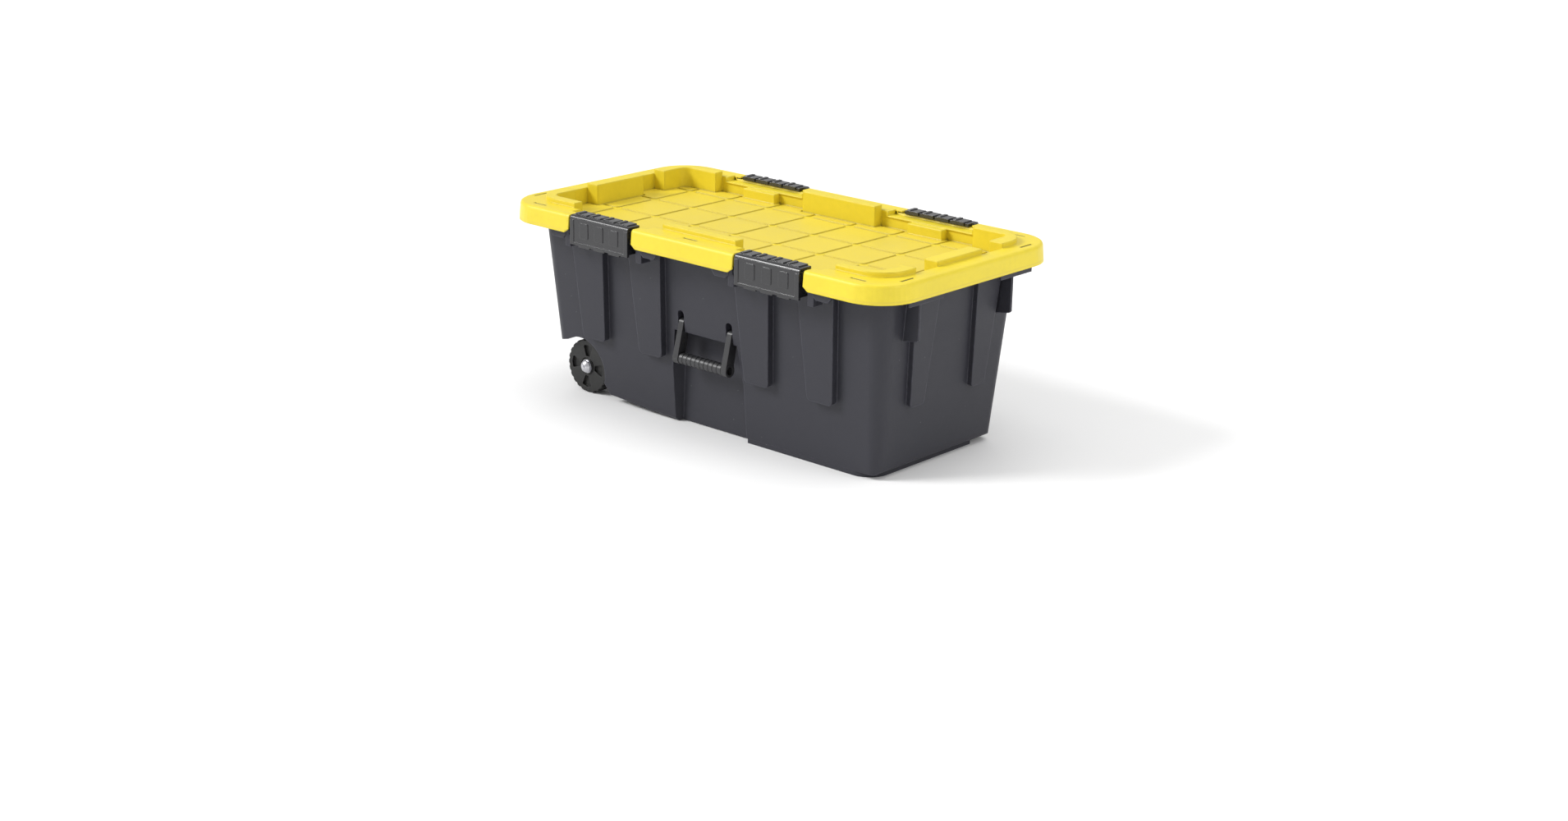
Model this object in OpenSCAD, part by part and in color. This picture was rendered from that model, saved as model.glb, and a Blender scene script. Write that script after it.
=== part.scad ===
// Wheeled storage tote with a lift-off lid, over-centre latches and bail handles.
// Millimetres. X runs along the length (wheels at -X), the front faces -Y, Z is up.

/* [Overall] */
// Length of the lid
lid_l = 930; // [750:5:1100]
// Depth of the lid, front to back
lid_w = 495; // [400:5:600]
// Height of the lid's lower edge above the floor
edge_z = 336; // [280:2:400]
// Plan radius of the lid's corners
lid_r = 78; // [50:1:100]

/* [Tub] */
// Inset of the front and back walls from the lid edge, at the lid edge
wall_in = 53; // [45:1:60]
// Inset of the front and back walls from the lid edge, at the floor
foot_in = 83; // [70:1:95]
// Inset of the end walls from the lid edge, at the lid edge
end_in = 45; // [40:1:60]
// Inset of the end walls from the lid edge, at the floor
end_foot_in = 73.5; // [65:1:95]
// Wall thickness
wall_t = 3.5; // [2.5:0.1:5]
// Plan radius of the tub's corners at the top
tub_r = 35; // [20:1:60]
// Plan radius of the tub's corners at the foot
foot_r = 22; // [10:1:50]
// Height of the body's lower edge above the floor
sole_z = 9; // [6:1:14]
// How far each front rib stands out from the wall
rib_d = 14; // [8:0.5:18]
// How far each end rib stands out from the wall
end_rib_d = 10.5; // [6:0.5:14]
// Distance of the inner front ribs from the middle
rib_x1 = 131; // [110:1:150]
// Distance of the outer front ribs from the middle
rib_x2 = 279; // [260:1:300]
// Distance of the end ribs from the middle
rib_y = 86; // [60:1:100]
// Depth from the lid edge to the back of the handle recess
recess_in = 98; // [92:1:110]

/* [Lid] */
// Height of the lid's skirt, lower edge to ledge
skirt_h = 34.4; // [28:0.2:42]
// Thickness of the lid's walls
lid_t = 3; // [2:0.1:4]
// Width of the flat ledge, front and back
ledge_w = 47.5; // [40:0.5:55]
// Width of the flat ledge at the ends
ledge_e = 37.5; // [30:0.5:50]
// Height of the raised bosses above the lid's lower edge
boss_h = 43.5; // [38:0.5:50]
// Thickness of the bosses, front and back
boss_w = 19.5; // [15:0.5:25]
// Thickness of the bosses at the ends
boss_e = 29; // [20:0.5:35]
// Height of the sunken panel above the lid's lower edge
panel_z = 3; // [2:0.5:8]
// Spacing of the square pads on the panel
pad_p = 102; // [80:1:120]

/* [Latches] */
// Distance of each latch from the middle
latch_x = 204.5; // [180:0.5:230]
// Width of a latch
latch_w = 148; // [120:1:170]
// Depth of the latch's top flange
latch_d = 30; // [24:1:36]

/* [Handles] */
// Length of the grip
grip_l = 132; // [110:1:150]
// Radius of the grip over its rings
grip_r = 10.8; // [9:0.1:13]
// Number of rings on the grip
grip_rings = 10; // [6:1:14]

/* [Wheels] */
// Wheel diameter
wheel_d = 104; // [90:1:120]
// Wheel width
wheel_w = 31; // [24:1:40]
// Distance of the axle from the middle
wheel_x = 333; // [310:1:345]
// Axle diameter
axle_d = 10; // [8:0.5:14]
// Distance from the lid edge to the wheel's outer face
wheel_in = 92; // [85:1:100]

/* [Hidden] */
$fn = 48;
slope = (foot_in - wall_in) / edge_z;
end_slope = (end_foot_in - end_in) / edge_z;
axle_z = wheel_d / 2;
arch_r = wheel_d / 2 + 9;
hinge_y = 20;
hinge_z = -6;
swing_y = 73;
swing_z = -139;
web_y = lid_w / 2 - wheel_in - wheel_w - 1.6;

function wall_at(z) = wall_in + (edge_z - z) * slope;
function end_at(z) = end_in + (edge_z - z) * end_slope;

// Rounded rectangle in plan, inset from the lid's outline.
module plan(in_x, in_y, r) {
    l = lid_l - 2 * in_x;
    w = lid_w - 2 * in_y;
    square([l - 2 * r, w], center = true);
    square([l, w - 2 * r], center = true);
    for (x = [-1, 1], y = [-1, 1]) translate([x * (l / 2 - r), y * (w / 2 - r)]) circle(r);
}

module slab(z, h, inset, r) {
    translate([0, 0, z]) linear_extrude(h) plan(inset, inset, r);
}

// Level slice of the tub's outline, drawn in by the amount given.
module tub_slice(z, h, less, r) {
    translate([0, 0, z]) linear_extrude(h) plan(end_at(z) + less, wall_at(z) + less, r);
}

// Vertical ring between two insets.
module ring(z, h, in_out, in_in) {
    translate([0, 0, z]) linear_extrude(h) difference() {
        plan(in_out, in_out, lid_r - in_out);
        plan(in_in, in_in, max(lid_r - in_in, 24));
    }
}

// Places children at the front and, mirrored, at the back. Local y runs inward from the lid edge
// and local z is measured from the lid's lower edge.
module both_sides() {
    for (s = [0, 1]) mirror([0, s, 0]) translate([0, -lid_w / 2, edge_z]) children();
}

// Shape drawn in local y and z, extruded from x0 to x1.
module side_cut(x0, x1) {
    translate([x0, 0, 0]) rotate([90, 0, 90]) linear_extrude(x1 - x0) children();
}

// Shape drawn in x and z, extruded along y from y0 to y1.
module face_cut(y0, y1) {
    translate([0, y1, 0]) rotate([90, 0, 0]) linear_extrude(y1 - y0) children();
}

// Outline of a rib: wide at the rim, narrower at its rounded foot.
module rib_shape(w_top, w_foot, h, r) {
    polygon([[-w_top / 2, 4], [w_top / 2, 4], [w_foot / 2, r - h], [w_foot / 2 - r, -h],
             [r - w_foot / 2, -h], [-w_foot / 2, r - h]]);
    for (s = [-1, 1]) translate([s * (w_foot / 2 - r), r - h]) circle(r);
}

module ribs(less) {
    both_sides() for (x = [-rib_x2, -rib_x1, rib_x1, rib_x2])
        translate([x, wall_in, 0]) rotate([atan(slope), 0, 0]) rotate([90, 0, 0]) translate([0, 0, -12])
            linear_extrude(rib_d + 12 - less) rib_shape(84 - 2 * less, 58 - 2 * less, 213 - less, 9 - less);
    for (a = [0, 180], y = [-rib_y, rib_y])
        rotate([0, 0, a]) translate([lid_l / 2 - end_in, y, edge_z]) rotate([0, 0, 90])
            rotate([atan(end_slope), 0, 0]) rotate([90, 0, 0]) translate([0, 0, -12])
                linear_extrude(end_rib_d + 12 - less)
                    rib_shape(68 - 2 * less, 38 - 2 * less, 211 - less, 7 - less);
}

// Slots above the handle recess, one for each arm.
module arm_slots(more) {
    for (s = [-1, 1]) {
        translate([s * 59.25 - 7.75 - more, 170]) square([15.5 + 2 * more, 44]);
        translate([s * 59.25, 214]) circle(7.75 + more);
    }
}

// Recess for a handle, wider at its mouth than at its back.
module recesses(more) {
    back = -lid_w / 2 + recess_in + more;
    for (s = [0, 1]) mirror([0, s, 0]) {
        hull() {
            face_cut(back - 0.5, back)
                polygon([[-77 - more, 182 + more], [77 + more, 182 + more],
                         [84 + more, -8], [-84 - more, -8]]);
            face_cut(back - 60, back - 59.5)
                polygon([[-77 - more, 182 + more], [77 + more, 182 + more],
                         [104 + more, -8], [-104 - more, -8]]);
        }
        face_cut(-lid_w / 2, back) arm_slots(more);
    }
}

// Bores for a handle's two stubs.
module handle_bores() {
    for (s = [-1, 1]) translate([s * 68, swing_y, swing_z]) rotate([0, 90, 0])
        cylinder(r = 4.1, h = 9, center = true);
}

// Tunnel across the end of the tub for the axle and both wheels.
module tunnel_shape(more) {
    polygon([[-330, 112 + more], [-386, 98 + more], [-480, 75 + more], [-480, -8], [-253 + more, -8],
             [-260 + more, 14], [-276 + more, 34], [-330, 60]]);
    translate([-wheel_x, axle_z]) circle(arch_r + more, $fn = 64);
}

module tunnel(more) {
    face_cut(-lid_w / 2, lid_w / 2) tunnel_shape(more);
}

module tub_outside() {
    hull() {
        tub_slice(2, 1, 4, foot_r - 4);
        tub_slice(7, 1, 0, foot_r);
        tub_slice(edge_z - 1, 1, 0, tub_r);
    }
}

module tub_inside() {
    hull() {
        tub_slice(18, 1, wall_t + 3, foot_r - wall_t - 3);
        tub_slice(25, 1, wall_t, foot_r - wall_t);
        tub_slice(edge_z + 4, 1, wall_t, tub_r - wall_t);
    }
}

// Foot pad under the end without wheels.
module foot_pad(less, z, h) {
    translate([0, 0, z]) linear_extrude(h) {
        translate([91 + less, -164.5 + less]) square([247 - less, 284 - 2 * less]);
        translate([338, -122.5]) square([42 - less, 234]);
        translate([338, -122.5]) circle(42 - less);
        translate([338, 111.5]) square([34, 8 - less]);
        translate([372, 111.5]) circle(8 - less);
    }
}

// Space under the lid at each latch, cleared of the tub's rim.
module latch_bays() {
    both_sides() for (x = [-latch_x, latch_x]) {
        translate([x - 76, -2, -30]) cube([152, 32, 70]);
        translate([x - 102, -2, 22]) cube([204, 54, 20]);
        translate([x - 88, -2, -4.5]) cube([176, 13.5, 40]);
        translate([x - 96, 9, 6]) cube([192, 20, 30]);
    }
}

module rim() {
    difference() {
        union() {
            difference() {
                slab(edge_z - 4, 3, 30, lid_r - 30);
                tub_slice(edge_z - 5, 5, 1, tub_r - 1);
            }
            ring(edge_z - 4, 31, 30, 33);
            ring(edge_z + 27.5, 3, 8.5, 33);
            ring(edge_z + 2, 28, 8.5, 11.5);
            hinge_blocks();
            rim_tabs();
            slits(-0.4, edge_z + 28, edge_z + skirt_h - 1);
        }
        latch_bays();
        both_sides() for (x = [-latch_x, latch_x], s = [-1, 1])
            translate([x + s * 89, hinge_y, hinge_z]) rotate([0, 90, 0])
                cylinder(r = 3.1, h = 12, center = true);
    }
}

module hinge_blocks() {
    both_sides() for (x = [-latch_x, latch_x], s = [-1, 1])
        translate([x + s * 91.5 - 6.5, 9.5, -27]) cube([13, 23, 32.5]);
}

// Short lips that hang below the lid beside each latch and over each end lug.
module rim_tabs() {
    both_sides() for (x = [-latch_x, latch_x], s = [-1, 1]) translate([x + s * 116.5, 8.5, 0])
        face_cut(0, 3) polygon([[-19.5, 12], [-19.5, -7], [-13, -14], [13, -14], [19.5, -7], [19.5, 12]]);
    for (a = [0, 180], y = [-126, 126]) rotate([0, 0, a])
        translate([lid_l / 2 - 11.5, y - 45, edge_z - 11]) cube([3, 90, 20]);
}

// Gusset plates between the end walls and the rim.
module lugs() {
    for (a = [0, 180], y = [-129.5, 129.5]) rotate([0, 0, a]) translate([0, y - 2.5, edge_z])
        face_cut(0, 5) polygon([[lid_l / 2 - end_in - 3, -2], [446, -2], [446, -78], [443, -81],
                                [lid_l / 2 - end_in - 9, -86]]);
    for (a = [0, 180], y = [-129.5, 129.5]) rotate([0, 0, a]) translate([432, y - 2.5, edge_z - 4])
        cube([24, 5, 20]);
}

// Plates that carry the axle inside the tunnel.
module webs() {
    difference() {
        for (s = [0, 1]) mirror([0, s, 0]) face_cut(-web_y, -web_y + 6) {
            intersection() {
                tunnel_shape(2);
                polygon([[-376, 130], [-290, 130], [-319, 42], [-347, 42]]);
            }
            translate([-wheel_x, axle_z]) circle(15);
        }
        translate([-wheel_x, 0, axle_z]) rotate([90, 0, 0])
            cylinder(r = axle_d / 2 + 0.2, h = 400, center = true);
    }
}

module tub() {
    color("#37383c") {
        difference() {
            union() {
                tub_outside();
                intersection() {
                    ribs(0);
                    slab(60, edge_z - 62, 32, 40);
                }
            }
            difference() {
                union() {
                    tub_inside();
                    intersection() {
                        ribs(wall_t);
                        slab(60, edge_z - 64, 36, 40);
                    }
                }
                recesses(wall_t);
                tunnel(wall_t);
            }
            recesses(0);
            both_sides() handle_bores();
            tunnel(0);
            // left skirt rises toward the wheels
            face_cut(-lid_w / 2, lid_w / 2) polygon([[-262, -2], [-262, 14], [-87, 2], [-87, -2]]);
            // underside hollows
            translate([-250, -158, -1]) cube([160, 316, 15]);
            translate([-91, -142, -1]) cube([178, 284, 15]);
            // raised edge of the sole
            translate([87, -lid_w / 2, -1]) cube([400, lid_w, sole_z + 1]);
            // rounded-off lower edge of the end wall
            face_cut(-lid_w / 2, lid_w / 2)
                polygon([[382, sole_z - 1], [393, sole_z + 7], [402, sole_z - 1]]);
            foot_pad(wall_t, wall_t, 30);
        }
        difference() {
            foot_pad(0, 0, sole_z + 2);
            foot_pad(wall_t, wall_t, 30);
        }
        webs();
        rim();
        lugs();
        both_sides() for (s = [-1, 1]) difference() {
            translate([s * 70.5, swing_y, swing_z]) rotate([0, 90, 0]) cylinder(r = 10, h = 7, center = true);
            translate([-90, 40, swing_z - 20]) cube([180, 27, 40]);
            handle_bores();
        }
    }
}

// Raised bosses around the panel, in plan. They shrink by the amount given.
module boss_plan(less) {
    intersection() {
        difference() {
            plan(ledge_e + less, ledge_w + less, 55 - less);
            plan(ledge_e + boss_e - less, ledge_w + boss_w - less, 20 + less);
        }
        union() {
            for (a = [0, 180]) rotate([0, 0, a]) {
                translate([-89 + less, -lid_w / 2]) square([178 - 2 * less, 90]);
                translate([lid_l / 2 - 90, -62 + less]) square([90, 124 - 2 * less]);
            }
            for (i = [0, 1], j = [0, 1]) mirror([i, 0]) mirror([0, j])
                translate([317 + less, 121 + less]) square([150, 130]);
        }
    }
}

module lid_shell() {
    difference() {
        hull() {
            slab(0, 1, 0, lid_r);
            slab(28, 1, 2.4, lid_r - 2.4);
            slab(31.6, 1, 3.8, lid_r - 3.8);
            slab(skirt_h - 0.6, 0.6, 7, lid_r - 7);
        }
        hull() {
            slab(-1, 1, lid_t, lid_r - lid_t);
            slab(skirt_h - lid_t - 1, 1, lid_t + 3.4, lid_r - lid_t - 3.4);
        }
    }
}

// Block behind each latch, and the low shelf that a finger reaches over.
module latch_seats() {
    both_sides() for (x = [-latch_x, latch_x]) {
        translate([x - 40, ledge_w - 3, 0.5]) cube([80, boss_w, 23.5]);
        translate([x - 98, 25, 23]) cube([196, ledge_w - 22, 3]);
        translate([x - 92, 13, 26.5]) cube([184, 15, 3]);
        translate([x - 92, 25, 23]) cube([184, 3, 6.5]);
        for (s = [-1, 1]) {
            translate([x + s * 93.5 - 1.5, 12, 7]) cube([3, 16, 24.5]);
            translate([x + s * 99.5 - 1.5, 25, 23]) cube([3, ledge_w - 22, 10]);
        }
    }
}

module latch_notches() {
    both_sides() for (x = [-latch_x, latch_x]) {
        translate([x - 81, -2, -1]) cube([162, 15, 50]);
        face_cut(-2, 13)
            polygon([[x - 93, -2], [x + 93, -2], [x + 92, 0], [x + 81, 7.5], [x - 81, 7.5], [x - 92, 0]]);
        translate([x - 81, -2, 29.5]) cube([162, 30.5, 20]);
        translate([x - 98, 28, 26]) cube([196, 40, 9]);
    }
}

module panel_pads() {
    intersection() {
        translate([0, 0, panel_z - 0.5]) linear_extrude(2.5)
            for (x = [-4:4], y = [-2:2]) translate([x * pad_p, y * pad_p]) {
                square([pad_p - 7, pad_p - 21], center = true);
                square([pad_p - 21, pad_p - 7], center = true);
                for (i = [-1, 1], j = [-1, 1])
                    translate([i * (pad_p / 2 - 10.5), j * (pad_p / 2 - 10.5)]) circle(7, $fn = 24);
            }
        translate([0, 0, -5]) linear_extrude(20) difference() {
            plan(ledge_e + 6, ledge_w + 6, 50);
            offset(4) boss_plan(0);
        }
    }
}

// Slits in the lid's ledge, and with a negative amount the pegs on the tub's rim that stand in them.
module slits(more, z0, z1) {
    for (y = [-1, 1]) {
        for (x = [-386, 0, 386])
            translate([x - 17 - more, y * (lid_w / 2 - 26) - 2.5 - more, z0])
                cube([34 + 2 * more, 5 + 2 * more, z1 - z0]);
        for (x = [-445, 445])
            translate([x - 2.5 - more, y * 166 - 17 - more, z0]) cube([5 + 2 * more, 34 + 2 * more, z1 - z0]);
    }
}

module lid() {
    color("#f0d222") {
        difference() {
            union() {
                difference() {
                    union() {
                        translate([0, 0, edge_z]) lid_shell();
                        translate([0, 0, edge_z + 0.5]) linear_extrude(skirt_h - 2)
                            plan(ledge_e - lid_t, ledge_w - lid_t, 58);
                    }
                    translate([0, 0, edge_z + panel_z]) linear_extrude(60) plan(ledge_e, ledge_w, 55);
                }
                translate([0, 0, edge_z + 0.5]) linear_extrude(boss_h - 0.5) boss_plan(0);
                translate([0, 0, edge_z]) panel_pads();
            }
            translate([0, 0, edge_z - 1]) linear_extrude(boss_h - lid_t + 1) boss_plan(lid_t);
            latch_notches();
            slits(0, edge_z + 20, edge_z + 50);
        }
        difference() {
            latch_seats();
            latch_notches();
            both_sides() for (x = [-latch_x, latch_x])
                translate([x - 37, ledge_w - 6, -1]) cube([74, boss_w, 22]);
        }
    }
}

// Side outline of a latch, in y and z.
module latch_outline() {
    difference() {
        union() {
            translate([-0.5, -18]) square([4, 50]);
            translate([5.5, 32.8]) square([latch_d - 5.5, 3.8]);
            translate([5.5, 30.6]) circle(6, $fn = 48);
            translate([latch_d - 3.6, 30.1]) square([3.6, 6]);
        }
        translate([3.5, 26]) square([6.8, 6.8]);
        translate([3.5, 20]) square([latch_d, 8]);
    }
}

module latch_body() {
    side_cut(-latch_w / 2, latch_w / 2) latch_outline();
    // ears down to the pivots
    for (s = [-1, 1]) side_cut(s * (latch_w / 2 - 2) - 2, s * (latch_w / 2 - 2) + 2) {
        polygon([[3, 31], [12.4, 31], [12.4, 8], [14, 3], [hinge_y, 2], [hinge_y, -14], [3, -14]]);
        translate([hinge_y, hinge_z]) circle(8);
    }
    for (s = [-1, 1]) translate([s * (latch_w / 2 + 9), hinge_y, hinge_z]) rotate([0, 90, 0])
        cylinder(r = 3, h = 20, center = true);
    // side rails and squares on the front
    for (s = [-1, 1]) translate([s * (latch_w / 2 - 4.5) - 4.5, -1.6, -18]) cube([9, 2, 46]);
    translate([-latch_w / 2, -1.6, -18]) cube([latch_w, 2, 5]);
    for (x = [-38.5, 0, 38.5]) translate([x, -0.3, 11]) rotate([90, 0, 0]) linear_extrude(1.4) {
        square([22, 23], center = true);
        square([16, 29], center = true);
        for (i = [-1, 1], j = [-1, 1]) translate([i * 8, j * 11.5]) circle(3);
    }
    // grip ridges on the flange
    for (x = [-53, -17.7, 17.7, 53]) {
        translate([x - 15, 8, 36.2]) cube([27, latch_d - 5.5, 2.2]);
        translate([x - 15, 8, 36.2]) cube([7, latch_d - 7.5, 3.6]);
        translate([x - 15, latch_d - 1, 31.8]) cube([27, 3.5, 5]);
    }
    // hinge knuckles under the lower edge
    for (x = [-38.5, 0, 38.5]) translate([x - 14, -0.5, -21]) cube([28, 4, 4]);
}

module latch_at(x, back) {
    color("#202123") mirror([0, back, 0]) translate([x, -lid_w / 2, edge_z]) latch_body();
}

module front_left_latch() {
    latch_at(-latch_x, 0);
}

module front_right_latch() {
    latch_at(latch_x, 0);
}

module back_left_latch() {
    latch_at(-latch_x, 1);
}

module back_right_latch() {
    latch_at(latch_x, 1);
}

// Grip centre below the arms' pivots.
module handle_body() {
    gy = 61;
    gz = -202;
    difference() {
        union() {
            for (s = [-1, 1]) side_cut(s * 59.5 - 6, s * 59.5 + 6) {
                translate([swing_y, swing_z]) circle(8.5);
                translate([gy, gz]) circle(grip_r + 0.8);
                polygon([[swing_y - 8.4, swing_z + 1], [swing_y + 8, swing_z - 2],
                         [gy + 9.5, gz + 3], [gy - 11.4, gz + 2]]);
            }
            for (s = [-1, 1]) translate([s * 67.5, swing_y, swing_z]) rotate([0, 90, 0])
                cylinder(r = 4, h = 8, center = true);
            translate([0, gy, gz]) rotate([0, 90, 0])
                cylinder(r = grip_r - 0.9, h = grip_l - 8, center = true);
            for (i = [0:grip_rings - 1])
                translate([(i - (grip_rings - 1) / 2) * 10.6, gy, gz]) rotate([0, 90, 0])
                    cylinder(r = grip_r, h = 7.8, center = true);
            for (s = [-1, 1]) translate([s * (grip_l / 2 - 4), gy, gz]) rotate([0, 90, 0])
                cylinder(r = grip_r + 0.8, h = 8, center = true);
        }
        translate([0, gy, gz]) rotate([0, 90, 0]) cylinder(r = 7.6, h = 200, center = true);
    }
}

module front_handle() {
    color("#3c3d41") translate([0, -lid_w / 2, edge_z]) handle_body();
}

module back_handle() {
    color("#3c3d41") mirror([0, 1, 0]) translate([0, -lid_w / 2, edge_z]) handle_body();
}

module axle() {
    color("#8d9095") translate([-wheel_x, 0, axle_z]) rotate([90, 0, 0])
        cylinder(r = axle_d / 2, h = lid_w - 2 * wheel_in + 12, center = true);
}

// Wheel with its outer face on y = 0 and its width toward +y.
module wheel_body() {
    difference() {
        rotate([-90, 0, 0]) difference() {
            union() {
                translate([0, 0, 2]) cylinder(r = wheel_d / 2, h = wheel_w - 4, $fn = 96);
                cylinder(r = wheel_d / 2 - 1, h = wheel_w, $fn = 96);
            }
            for (i = [0.5:23.5]) rotate([0, 0, i * 15])
                translate([wheel_d / 2 + 2.2, 0, -1]) cylinder(r = 4.8, h = wheel_w + 2, $fn = 32);
            translate([0, 0, wheel_w - 9]) difference() {
                cylinder(r = wheel_d / 2 - 9, h = 20);
                cylinder(r = 14, h = 20);
            }
            for (a = [3:90:273]) rotate([0, 0, a]) translate([0, 0, -1]) linear_extrude(6) {
                polygon([[19, -4.5], [22, -6], [36.5, -11.5], [40, -9], [42, 0],
                         [40, 9], [36.5, 11.5], [22, 6], [19, 4.5]]);
                for (s = [-1, 1]) translate([37, s * 8.2]) circle(3.3);
            }
            translate([0, 0, -1]) difference() {
                cylinder(r = 17, h = 3);
                cylinder(r = 14.5, h = 3);
            }
            translate([0, 0, -1]) cylinder(r = axle_d / 2 + 0.1, h = wheel_w + 2);
        }
    }
}

module front_wheel() {
    color("#303133") translate([-wheel_x, -lid_w / 2 + wheel_in, axle_z]) wheel_body();
}

module back_wheel() {
    color("#303133") mirror([0, 1, 0]) translate([-wheel_x, -lid_w / 2 + wheel_in, axle_z]) wheel_body();
}

// Domed push-on cap, with its open side on y = 0.
module cap_body() {
    rotate([90, 0, 0]) difference() {
        union() {
            cylinder(r = 13, h = 2.4);
            intersection() {
                translate([0, 0, -3]) sphere(r = 14.5, $fn = 64);
                cylinder(r = 12, h = 11.5);
            }
            translate([0, 0, 9]) cylinder(r = 3, h = 3.4);
        }
        translate([0, 0, -1]) cylinder(r = axle_d / 2, h = 7);
    }
}

module front_axle_cap() {
    color("#d5d7da") translate([-wheel_x, -lid_w / 2 + wheel_in - 0.4, axle_z]) cap_body();
}

module back_axle_cap() {
    color("#d5d7da") mirror([0, 1, 0]) translate([-wheel_x, -lid_w / 2 + wheel_in - 0.4, axle_z]) cap_body();
}

tub();
lid();
front_left_latch();
front_right_latch();
back_left_latch();
back_right_latch();
front_handle();
back_handle();
axle();
front_wheel();
back_wheel();
front_axle_cap();
back_axle_cap();
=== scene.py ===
"""Looks for the wheeled storage tote: moulded plastics with soft edges, a bright steel axle and metal caps,
a pale studio and the camera. The CAD nodes keep their shape, and each gets its own material."""

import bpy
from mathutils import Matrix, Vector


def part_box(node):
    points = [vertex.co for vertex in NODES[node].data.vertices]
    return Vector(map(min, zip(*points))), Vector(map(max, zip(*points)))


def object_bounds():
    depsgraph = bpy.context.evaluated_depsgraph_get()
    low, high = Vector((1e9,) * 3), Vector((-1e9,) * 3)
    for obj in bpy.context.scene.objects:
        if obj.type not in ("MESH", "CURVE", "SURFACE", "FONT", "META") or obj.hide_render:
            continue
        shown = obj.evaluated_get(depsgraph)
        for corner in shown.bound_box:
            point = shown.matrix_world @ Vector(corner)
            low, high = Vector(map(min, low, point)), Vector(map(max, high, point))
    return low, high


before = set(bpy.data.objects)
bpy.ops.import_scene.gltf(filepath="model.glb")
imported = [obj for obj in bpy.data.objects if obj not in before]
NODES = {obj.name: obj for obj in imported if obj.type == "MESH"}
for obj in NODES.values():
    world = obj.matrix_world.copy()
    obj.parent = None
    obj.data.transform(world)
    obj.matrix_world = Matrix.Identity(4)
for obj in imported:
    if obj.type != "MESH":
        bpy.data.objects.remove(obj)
cad_box = [list(corner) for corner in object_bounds()]

import math

import bpy
from mathutils import Vector

LATCHES = ["front_left_latch", "front_right_latch", "back_left_latch", "back_right_latch"]
HANDLES = ["front_handle", "back_handle"]
WHEELS = ["front_wheel", "back_wheel"]
CAPS = ["front_axle_cap", "back_axle_cap"]

# Colours in linear light.
CHARCOAL = (0.030, 0.030, 0.038)
LID_YELLOW = (0.72, 0.575, 0.026)
PAD_YELLOW = (0.63, 0.49, 0.05, 1.0)
LATCH_BLACK = (0.012, 0.012, 0.014)
HANDLE_BLACK = (0.027, 0.027, 0.029)
WHEEL_BLACK = (0.016, 0.016, 0.0155)
DUST_GREY = (0.55, 0.55, 0.52, 1.0)
STEEL_TONES = [(0.36, 0.36, 0.38, 1.0), (0.56, 0.56, 0.58, 1.0)]
CHROME_TONES = [(0.50, 0.50, 0.53, 1.0), (0.66, 0.66, 0.69, 1.0)]
FLOOR_TONES = [(0.90, 0.90, 0.90, 1.0), (0.93, 0.93, 0.93, 1.0)]

# The heights between which the tops of the lid's pads lie, in metres above the floor.
LID_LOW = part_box("lid")[0].z
PAD_LOW = LID_LOW + 0.0036
PAD_HIGH = LID_LOW + 0.0062

# Cosines of the angle between flat and rounded normals where the painted highlight on an edge starts and is
# full.
EDGE_HIGHLIGHT_START = 0.995
EDGE_HIGHLIGHT_FULL = 0.90

# Painted shade in slits and gaps: how far off their walls may be in metres, and how dark the plastic is
# painted in them.
GAP_REACH = 0.008
GAP_SHADE_WEIGHT = 0.85
GAP_SHADE = 0.06

# Only cells of the speck pattern above this random value hold a speck.
SPECK_RARITY = 0.86


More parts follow.
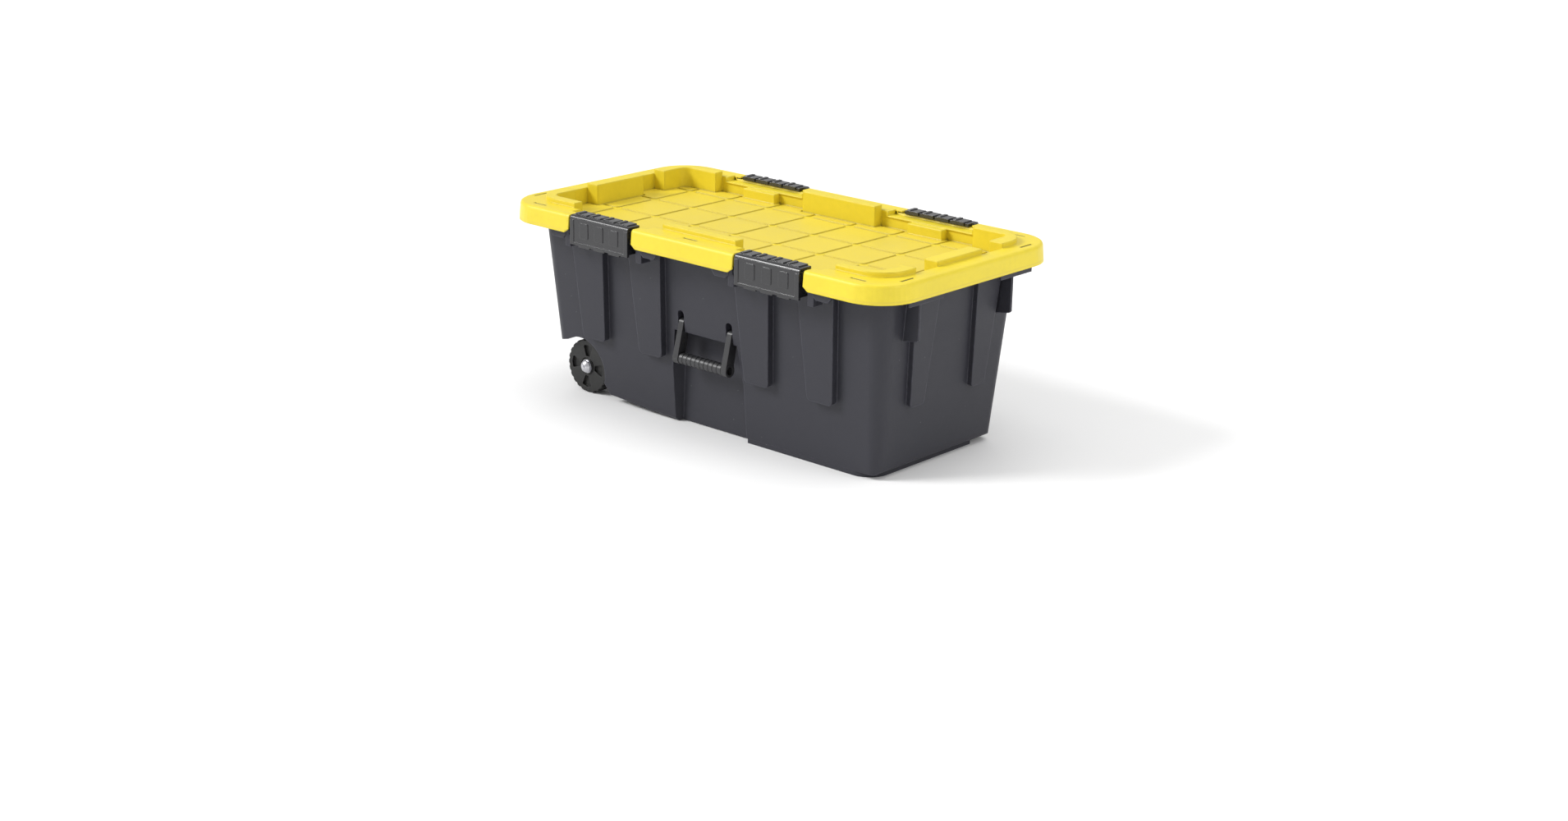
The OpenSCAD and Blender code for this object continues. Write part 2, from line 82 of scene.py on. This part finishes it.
class Graph:
    """A material's node tree, with short calls for the nodes that the materials here share."""

    def __init__(self, name):
        self.material = bpy.data.materials.new(name)
        self.material.use_nodes = True
        self.tree = self.material.node_tree
        self.shader = self.tree.nodes["Principled BSDF"]
        self.place = self.node("ShaderNodeTexCoord").outputs["Object"]

    def node(self, kind, **settings):
        made = self.tree.nodes.new(kind)
        for key, value in settings.items():
            setattr(made, key, value)
        return made

    def link(self, output, target):
        self.tree.links.new(output, target)

    def fill(self, target, value):
        """Sets an input to a fixed value, or links it if the value is another node's output."""
        if isinstance(value, bpy.types.NodeSocket):
            self.link(value, target)
        else:
            target.default_value = value

    def math(self, kind, a, b=0.0, clamp=False):
        made = self.node("ShaderNodeMath", operation=kind, use_clamp=clamp)
        self.fill(made.inputs[0], a)
        self.fill(made.inputs[1], b)
        return made.outputs[0]

    def span(self, value, low, high, out_low=0.0, out_high=1.0):
        """value carried from the range low..high to out_low..out_high, clamped."""
        made = self.node("ShaderNodeMapRange")
        self.fill(made.inputs["Value"], value)
        for socket, number in zip(made.inputs[1:5], (low, high, out_low, out_high)):
            socket.default_value = number
        return made.outputs["Result"]

    def noise(self, scale, detail=3.0, rough=0.5):
        made = self.node("ShaderNodeTexNoise")
        self.link(self.place, made.inputs["Vector"])
        made.inputs["Scale"].default_value = scale
        made.inputs["Detail"].default_value = detail
        made.inputs["Roughness"].default_value = rough
        return made.outputs["Fac"]

    def specks(self, scale, radius):
        """1 in small sparse dots, 0 elsewhere."""
        cells = self.node("ShaderNodeTexVoronoi", feature="F1")
        self.link(self.place, cells.inputs["Vector"])
        cells.inputs["Scale"].default_value = scale
        near = self.span(cells.outputs["Distance"], radius * 0.6, radius, 1.0, 0.0)
        pick = self.node("ShaderNodeSeparateColor")
        self.link(cells.outputs["Color"], pick.inputs["Color"])
        rare = self.math("GREATER_THAN", pick.outputs["Red"], SPECK_RARITY)
        return self.math("MULTIPLY", near, rare)

    def mix(self, factor, a, b):
        made = self.node("ShaderNodeMix", data_type="RGBA")
        self.fill(made.inputs[0], factor)
        self.fill(made.inputs[6], a)
        self.fill(made.inputs[7], b)
        return made.outputs[2]

    def rounded(self, radius):
        """Normals that turn smoothly over every edge, as on a moulding's small fillets."""
        bevel = self.node("ShaderNodeBevel", samples=6)
        bevel.inputs["Radius"].default_value = radius
        return bevel.outputs["Normal"]

    def edges(self, soft):
        """Rises from 0 on flats to 1 where the rounded normals turn."""
        flat = self.node("ShaderNodeNewGeometry").outputs["Normal"]
        dot = self.node("ShaderNodeVectorMath", operation="DOT_PRODUCT")
        self.link(soft, dot.inputs[0])
        self.link(flat, dot.inputs[1])
        return self.span(dot.outputs["Value"], EDGE_HIGHLIGHT_START, EDGE_HIGHLIGHT_FULL)

    def painted_gap_shade(self, reach):
        """Rises from 0 in the open to 1 deep in narrow slits and gaps, where the plastic is painted dark as
        shade.
        """
        hidden = self.node("ShaderNodeAmbientOcclusion", samples=8)
        hidden.inputs["Distance"].default_value = reach
        return self.span(hidden.outputs["AO"], 0.18, 0.45, 1.0, 0.0)

    def bump(self, height, strength, distance, after=None):
        made = self.node("ShaderNodeBump")
        made.inputs["Strength"].default_value = strength
        made.inputs["Distance"].default_value = distance
        self.link(height, made.inputs["Height"])
        if after is not None:
            self.link(after, made.inputs["Normal"])
        return made.outputs["Normal"]


def shade(colour, factor):
    """The colour made lighter or darker, with full opacity."""
    return tuple(min(1.0, c * factor) for c in colour[:3]) + (1.0,)


def plastic(name, colour, rough, grain, grain_depth, edge_light, gloss=0.5, coat=0.0, dust=0.0,
            pads=None, fillet=0.0015):
    """Moulded plastic: cloudy colour, fine grain, uneven gloss, edges painted paler as a highlight and
    slits painted dark as shade.
    dust adds specks, and pads is the colour that the tops of the lid's pads lean to."""
    g = Graph(name)
    cloud = g.noise(7.0, 4.0, 0.6)
    mottle = g.noise(90.0, 3.0, 0.6)
    blend = g.math("ADD", g.math("MULTIPLY", cloud, 0.7), g.math("MULTIPLY", mottle, 0.3))
    base = g.mix(g.span(blend, 0.3, 0.7), shade(colour, 0.93), shade(colour, 1.07))
    soft = g.rounded(fillet)
    # Painted highlight: edges are painted paler where the rounded normals turn, broken up by noise.
    edge_highlight = g.math("MULTIPLY", g.edges(soft), g.span(g.noise(60.0, 4.0, 0.7), 0.35, 0.7, 0.25, 1.0))
    base = g.mix(edge_highlight, base, shade(colour, edge_light))
    if pads is not None:
        height = g.node("ShaderNodeSeparateXYZ")
        g.link(g.place, height.inputs[0])
        inside = g.math("MULTIPLY", g.math("GREATER_THAN", height.outputs["Z"], PAD_LOW),
                        g.math("LESS_THAN", height.outputs["Z"], PAD_HIGH))
        base = g.mix(g.math("MULTIPLY", inside, 0.5), base, pads)
    if dust:
        base = g.mix(g.math("MULTIPLY", g.specks(95.0, 0.055), dust), base, DUST_GREY)
    # Painted shade: the plastic is painted nearly black deep in slits and gaps, found by ambient occlusion.
    base = g.mix(g.math("MULTIPLY", g.painted_gap_shade(GAP_REACH), GAP_SHADE_WEIGHT), base, shade(colour, GAP_SHADE))
    g.link(base, g.shader.inputs["Base Color"])
    patchy = g.math("ADD", cloud, g.math("MULTIPLY", mottle, 0.5))
    g.link(g.span(patchy, 0.5, 1.0, rough - 0.06, rough + 0.06), g.shader.inputs["Roughness"])
    fine = g.noise(grain, 2.0, 0.7)
    wavy = g.noise(9.0, 1.0, 0.4)
    skin = g.bump(wavy, 0.35, 0.0012, soft)
    g.link(g.bump(fine, 0.5, grain_depth, skin), g.shader.inputs["Normal"])
    g.shader.inputs["Specular IOR Level"].default_value = gloss
    g.shader.inputs["Coat Weight"].default_value = coat
    g.shader.inputs["Coat Roughness"].default_value = 0.25
    return g.material


def steel(name):
    """Drawn steel with fine lines along the axle, which lies along Y."""
    g = Graph(name)
    stretch = g.node("ShaderNodeMapping")
    g.link(g.place, stretch.inputs["Vector"])
    stretch.inputs["Scale"].default_value = (1.0, 0.02, 1.0)
    g.place = stretch.outputs["Vector"]
    lines = g.noise(1400.0, 3.0, 0.6)
    g.link(g.mix(lines, *STEEL_TONES), g.shader.inputs["Base Color"])
    g.link(g.span(lines, 0.3, 0.7, 0.22, 0.38), g.shader.inputs["Roughness"])
    g.link(g.bump(lines, 0.2, 0.0001), g.shader.inputs["Normal"])
    g.shader.inputs["Metallic"].default_value = 1.0
    return g.material


def chrome(name):
    """Dull chrome with a light haze."""
    g = Graph(name)
    haze = g.noise(60.0, 4.0, 0.6)
    g.link(g.mix(haze, *CHROME_TONES), g.shader.inputs["Base Color"])
    g.link(g.span(haze, 0.3, 0.7, 0.24, 0.36), g.shader.inputs["Roughness"])
    g.link(g.bump(g.noise(500.0, 2.0, 0.5), 0.1, 0.00005), g.shader.inputs["Normal"])
    g.shader.inputs["Metallic"].default_value = 1.0
    return g.material


def finish_nodes(names, material):
    for name in names:
        for slot in NODES[name].material_slots:
            slot.material = material


tub_plastic = plastic("tub_moulding", CHARCOAL, rough=0.50, grain=1500.0, grain_depth=0.00012,
                      edge_light=2.6, gloss=0.3, dust=0.5, fillet=0.0030)
lid_plastic = plastic("lid_moulding", LID_YELLOW, rough=0.42, grain=1300.0, grain_depth=0.00010,
                      edge_light=1.12, pads=PAD_YELLOW, fillet=0.0042)
latch_plastic = plastic("latch_moulding", LATCH_BLACK, rough=0.19, grain=2200.0, grain_depth=0.00004,
                        edge_light=2.2, coat=0.25, fillet=0.0016)
handle_plastic = plastic("handle_moulding", HANDLE_BLACK, rough=0.38, grain=1800.0, grain_depth=0.00008,
                         edge_light=1.8)
wheel_plastic = plastic("wheel_moulding", WHEEL_BLACK, rough=0.45, grain=1500.0, grain_depth=0.00012,
                        edge_light=2.2, gloss=0.35, dust=0.4)

finish_nodes(["tub"], tub_plastic)
finish_nodes(["lid"], lid_plastic)
finish_nodes(LATCHES, latch_plastic)
finish_nodes(HANDLES, handle_plastic)
finish_nodes(WHEELS, wheel_plastic)
finish_nodes(["axle"], steel("axle_steel_finish"))
finish_nodes(CAPS, chrome("cap_chrome_finish"))


# Studio: a pale floor, a pale room and soft lights, which all point at the middle of the tote.
MIDDLE = (0.0, 0.0, 0.2)
FLOOR_HALF = 40.0
ROOM_STRENGTH = 0.6


def studio_floor():
    half = FLOOR_HALF
    mesh = bpy.data.meshes.new("studio_floor")
    corners = [(-half, -half, 0), (half, -half, 0), (half, half, 0), (-half, half, 0)]
    mesh.from_pydata(corners, [], [(0, 1, 2, 3)])
    floor = bpy.data.objects.new("studio_floor", mesh)
    floor.location.z = cad_box[0][2]
    bpy.context.scene.collection.objects.link(floor)
    g = Graph("studio_floor_paint")
    paint = g.mix(g.noise(3.0), *FLOOR_TONES)
    g.link(paint, g.shader.inputs["Base Color"])
    g.shader.inputs["Roughness"].default_value = 0.85
    mesh.materials.append(g.material)


def studio_room():
    """Even pale light from all round."""
    world = bpy.data.worlds.new("studio_room")
    world.use_nodes = True
    background = world.node_tree.nodes["Background"]
    background.inputs["Color"].default_value = (1.0, 1.0, 1.0, 1.0)
    background.inputs["Strength"].default_value = ROOM_STRENGTH
    bpy.context.scene.world = world


def hang(data, place):
    """Puts a light at place and turns it to the middle of the tote."""
    lamp = bpy.data.objects.new(data.name, data)
    lamp.location = place
    lamp.rotation_euler = (Vector(MIDDLE) - Vector(place)).to_track_quat("-Z", "Y").to_euler()
    bpy.context.scene.collection.objects.link(lamp)


def wide_light(name, place, strength, spread):
    """Far light of the same strength over the whole floor; its spread in degrees softens the shadows."""
    data = bpy.data.lights.new(name, "SUN")
    data.energy = strength
    data.angle = math.radians(spread)
    hang(data, place)


def panel_light(name, place, size, watts):
    """Square light panel near the tote, size metres wide."""
    data = bpy.data.lights.new(name, "AREA")
    data.size = size
    data.energy = watts
    hang(data, place)


def camera():
    """The photo's camera, found by fitting the long straight edges of the totes in it."""
    data = bpy.data.cameras.new("camera")
    data.sensor_width = 36.0
    data.lens = 54.48
    data.shift_x = 0.0047
    data.shift_y = -0.0024
    data.clip_end = 50.0
    eye = bpy.data.objects.new("camera", data)
    eye.location = (2.8127, -3.1595, 1.3718)
    eye.rotation_euler = tuple(math.radians(a) for a in (72.158, -0.927, 41.841))
    bpy.context.scene.collection.objects.link(eye)
    bpy.context.scene.camera = eye


studio_floor()
studio_room()
wide_light("key", (-2.6, -2.8, 2.9), strength=2.5, spread=24.0)
wide_light("top", (0.2, 0.8, 3.6), strength=1.0, spread=60.0)
panel_light("fill", (3.6, 0.4, 2.0), size=2.0, watts=30.0)
camera()
bpy.context.scene.view_settings.view_transform = "Standard"
